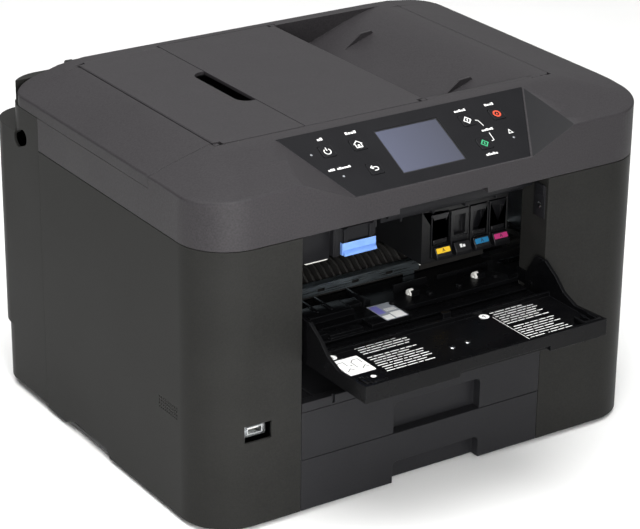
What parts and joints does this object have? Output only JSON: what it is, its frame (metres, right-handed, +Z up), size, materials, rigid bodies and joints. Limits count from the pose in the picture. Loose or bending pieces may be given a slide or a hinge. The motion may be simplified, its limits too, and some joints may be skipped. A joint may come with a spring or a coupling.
{
  "type": "inkjet printer",
  "caption": "Desktop inkjet multifunction printer with paper cassettes, drop-down front cover, ink carriage, flatbed scanner, document feeder lid and sloping control panel.",
  "frame": {"origin": "centre of the footprint, open front cover included, on the plane the feet stand on", "axes": "+X to the right as seen from the front, +Y from the front panel to the back, +Z up"},
  "size_m": [0.463, 0.485, 0.3185],
  "materials": {
    "shell_side": "satin moulded ABS",
    "shell_top": "fine textured ABS",
    "panel_black": "satin black panel",
    "inner_black": "moulded black",
    "steel": "zinc-plated sheet",
    "rubber": "matte",
    "white_plastic": "acetal",
    "blue_lever": "moulded",
    "ink_yellow": "moulded with yellow label",
    "ink_black": "moulded with white label",
    "ink_cyan": "moulded with cyan label",
    "ink_magenta": "moulded with magenta label",
    "belt_rubber": "toothed belt",
    "circuit_board": "solder mask",
    "glass": "float glass",
    "screen": "display window"
  },
  "bodies": {
    "printer": {"base_tray": "inner_black", "left_cover": "shell_side", "right_cover": "shell_side", "rear_housing": "shell_side", "chassis": "steel", "guide_rod": "steel", "carriage_belt": "belt_rubber", "motors": "steel", "star_wheel_bar": "steel", "platen": "inner_black", "exit_guide": "inner_black", "inner_shelf": "inner_black", "maintenance_unit": "inner_black", "power_supply": "panel_black", "main_board": "circuit_board", "rear_sockets": "steel", "usb_port": "steel", "scanner_base": "shell_top", "platen_glass": "glass", "scan_rail": "steel", "lid_hinges": "steel", "control_panel": "panel_black", "lcd_screen": "screen", "feet": "rubber"},
    "transport_door": {"transport_cover": "shell_side"},
    "front_door": {"front_cover": "inner_black"},
    "lower_tray": {"cassette_lower": "shell_side"},
    "upper_tray": {"cassette_upper": "shell_side"},
    "lower_fence_left": {"lower_guide_left": "shell_top"},
    "lower_fence_right": {"lower_guide_right": "shell_top"},
    "upper_fence_left": {"upper_guide_left": "shell_top"},
    "upper_fence_right": {"upper_guide_right": "shell_top"},
    "print_tray": {"output_tray": "shell_side"},
    "tray_extension": {"output_extension": "shell_top"},
    "carriage": {"carriage": "inner_black"},
    "tank_yellow": {"tank_yellow": "ink_yellow"},
    "tank_black": {"tank_black": "ink_black"},
    "tank_cyan": {"tank_cyan": "ink_cyan"},
    "tank_magenta": {"tank_magenta": "ink_magenta"},
    "drive_pulley": {"drive_pulley": "white_plastic"},
    "idler_pulley": {"idler_pulley": "white_plastic"},
    "feed_roller": {"feed_roller": "steel"},
    "exit_roller": {"exit_roller": "rubber"},
    "lock_lever": {"lock_lever": "blue_lever"},
    "pickup_upper": {"pickup_upper": "rubber"},
    "pickup_lower": {"pickup_lower": "rubber"},
    "scan_bar": {"scan_bar": "inner_black"},
    "lid": {"document_lid": "shell_top", "platen_pad": "white_plastic"},
    "feeder_cover": {"feeder_cover": "shell_top"},
    "document_tray": {"document_tray": "shell_top"},
    "guide_front": {"document_guide_front": "panel_black"},
    "guide_rear": {"document_guide_rear": "panel_black"},
    "feeder_roller": {"feeder_roller": "rubber"},
    "power_key": {"power_key": "panel_black"},
    "home_key": {"home_key": "panel_black"},
    "back_key": {"back_key": "panel_black"},
    "black_key": {"black_key": "panel_black"},
    "stop_key": {"stop_key": "panel_black"},
    "color_key": {"color_key": "panel_black"}
  },
  "joints": [
    {"name": "front_cover_hinge", "type": "hinge", "parent": "printer", "child": "front_door", "pos_m": [0, -0.1405, 0.156], "axis": [1, 0, 0], "range_deg": [-90, 0]},
    {"name": "transport_cover_hinge", "type": "hinge", "parent": "printer", "child": "transport_door", "pos_m": [0, 0.2385, 0.072], "axis": [-1, 0, 0], "range_deg": [0, 80]},
    {"name": "lower_cassette_slide", "type": "slide", "parent": "printer", "child": "lower_tray", "axis": [0, -1, 0], "range_m": [0, 0.3]},
    {"name": "upper_cassette_slide", "type": "slide", "parent": "printer", "child": "upper_tray", "axis": [0, -1, 0], "range_m": [0, 0.3]},
    {"name": "lower_guide_left_slide", "type": "slide", "parent": "lower_tray", "child": "lower_fence_left", "axis": [1, 0, 0], "range_m": [0, 0.05]},
    {"name": "lower_guide_right_slide", "type": "slide", "parent": "lower_tray", "child": "lower_fence_right", "axis": [-1, 0, 0], "range_m": [0, 0.05]},
    {"name": "upper_guide_left_slide", "type": "slide", "parent": "upper_tray", "child": "upper_fence_left", "axis": [1, 0, 0], "range_m": [0, 0.05]},
    {"name": "upper_guide_right_slide", "type": "slide", "parent": "upper_tray", "child": "upper_fence_right", "axis": [-1, 0, 0], "range_m": [0, 0.05]},
    {"name": "output_tray_slide", "type": "slide", "parent": "printer", "child": "print_tray", "axis": [0, -1, 0], "range_m": [0, 0.12]},
    {"name": "output_extension_slide", "type": "slide", "parent": "print_tray", "child": "tray_extension", "axis": [0, -1, 0], "range_m": [0, 0.14]},
    {"name": "carriage_slide", "type": "slide", "parent": "printer", "child": "carriage", "axis": [1, 0, 0], "range_m": [-0.19, 0.0955]},
    {"name": "tank_yellow_slide", "type": "slide", "parent": "carriage", "child": "tank_yellow", "axis": [0, -1, 0], "range_m": [0, 0.031]},
    {"name": "tank_black_slide", "type": "slide", "parent": "carriage", "child": "tank_black", "axis": [0, -1, 0], "range_m": [0, 0.031]},
    {"name": "tank_cyan_slide", "type": "slide", "parent": "carriage", "child": "tank_cyan", "axis": [0, -1, 0], "range_m": [0, 0.031]},
    {"name": "tank_magenta_slide", "type": "slide", "parent": "carriage", "child": "tank_magenta", "axis": [0, -1, 0], "range_m": [0, 0.031]},
    {"name": "drive_pulley_spin", "type": "hinge", "parent": "printer", "child": "drive_pulley", "pos_m": [-0.198, 0.0375, 0.225], "axis": [0, 1, 0], "range_deg": [-640, 1300]},
    {"name": "idler_pulley_spin", "type": "hinge", "parent": "printer", "child": "idler_pulley", "pos_m": [0.198, 0.0375, 0.225], "axis": [0, 1, 0], "range_deg": [-640, 1300]},
    {"name": "feed_roller_spin", "type": "hinge", "parent": "printer", "child": "feed_roller", "pos_m": [0, 0.0335, 0.132], "axis": [1, 0, 0], "continuous": true},
    {"name": "exit_roller_spin", "type": "hinge", "parent": "printer", "child": "exit_roller", "pos_m": [0, -0.0465, 0.133], "axis": [1, 0, 0], "continuous": true},
    {"name": "lock_lever_pivot", "type": "hinge", "parent": "printer", "child": "lock_lever", "pos_m": [-0.065, -0.1135, 0.241], "axis": [-1, 0, 0], "range_deg": [0, 50]},
    {"name": "pickup_upper_spin", "type": "hinge", "parent": "printer", "child": "pickup_upper", "pos_m": [-0.01, 0.1925, 0.092], "axis": [1, 0, 0], "continuous": true},
    {"name": "pickup_lower_spin", "type": "hinge", "parent": "printer", "child": "pickup_lower", "pos_m": [-0.01, 0.1925, 0.044], "axis": [1, 0, 0], "continuous": true},
    {"name": "scan_bar_slide", "type": "slide", "parent": "printer", "child": "scan_bar", "axis": [1, 0, 0], "range_m": [0, 0.33]},
    {"name": "lid_hinge", "type": "hinge", "parent": "printer", "child": "lid", "pos_m": [-0.01, 0.1995, 0.31], "axis": [-1, 0, 0], "range_deg": [0, 65]},
    {"name": "feeder_cover_hinge", "type": "hinge", "parent": "lid", "child": "feeder_cover", "pos_m": [-0.1691, 0.0565, 0.3165], "axis": [0, -1, 0], "range_deg": [0, 95]},
    {"name": "document_tray_hinge", "type": "hinge", "parent": "lid", "child": "document_tray", "pos_m": [0.0412, 0.0565, 0.3165], "axis": [0, 1, 0], "range_deg": [0, 125]},
    {"name": "document_guide_front_slide", "type": "slide", "parent": "document_tray", "child": "guide_front", "axis": [0, 1, 0], "range_m": [0, 0.06]},
    {"name": "document_guide_rear_slide", "type": "slide", "parent": "document_tray", "child": "guide_rear", "axis": [0, -1, 0], "range_m": [0, 0.06]},
    {"name": "feeder_roller_spin", "type": "hinge", "parent": "lid", "child": "feeder_roller", "pos_m": [-0.12, 0.0565, 0.298], "axis": [0, 1, 0], "continuous": true},
    {"name": "power_key_press", "type": "slide", "parent": "printer", "child": "power_key", "axis": [0, 0.4472, -0.8944], "range_m": [0, 0.0012], "stiffness_N_per_m": 400, "springref_m": -0.0004},
    {"name": "home_key_press", "type": "slide", "parent": "printer", "child": "home_key", "axis": [0, 0.4472, -0.8944], "range_m": [0, 0.0012], "stiffness_N_per_m": 400, "springref_m": -0.0004},
    {"name": "back_key_press", "type": "slide", "parent": "printer", "child": "back_key", "axis": [0, 0.4472, -0.8944], "range_m": [0, 0.0012], "stiffness_N_per_m": 400, "springref_m": -0.0004},
    {"name": "black_key_press", "type": "slide", "parent": "printer", "child": "black_key", "axis": [0, 0.4472, -0.8944], "range_m": [0, 0.0012], "stiffness_N_per_m": 400, "springref_m": -0.0004},
    {"name": "stop_key_press", "type": "slide", "parent": "printer", "child": "stop_key", "axis": [0, 0.4472, -0.8944], "range_m": [0, 0.0012], "stiffness_N_per_m": 400, "springref_m": -0.0004},
    {"name": "color_key_press", "type": "slide", "parent": "printer", "child": "color_key", "axis": [0, 0.4472, -0.8944], "range_m": [0, 0.0012], "stiffness_N_per_m": 400, "springref_m": -0.0004}
  ],
  "couplings": [
    {"joint": "drive_pulley_spin", "follows": "carriage_slide", "rad_per_m": -114.94},
    {"joint": "idler_pulley_spin", "follows": "carriage_slide", "rad_per_m": -114.94},
    {"joint": "exit_roller_spin", "follows": "feed_roller_spin", "ratio": 1.2308},
    {"joint": "lower_guide_right_slide", "follows": "lower_guide_left_slide", "ratio": 1},
    {"joint": "upper_guide_right_slide", "follows": "upper_guide_left_slide", "ratio": 1},
    {"joint": "document_guide_rear_slide", "follows": "document_guide_front_slide", "ratio": 1}
  ]
}
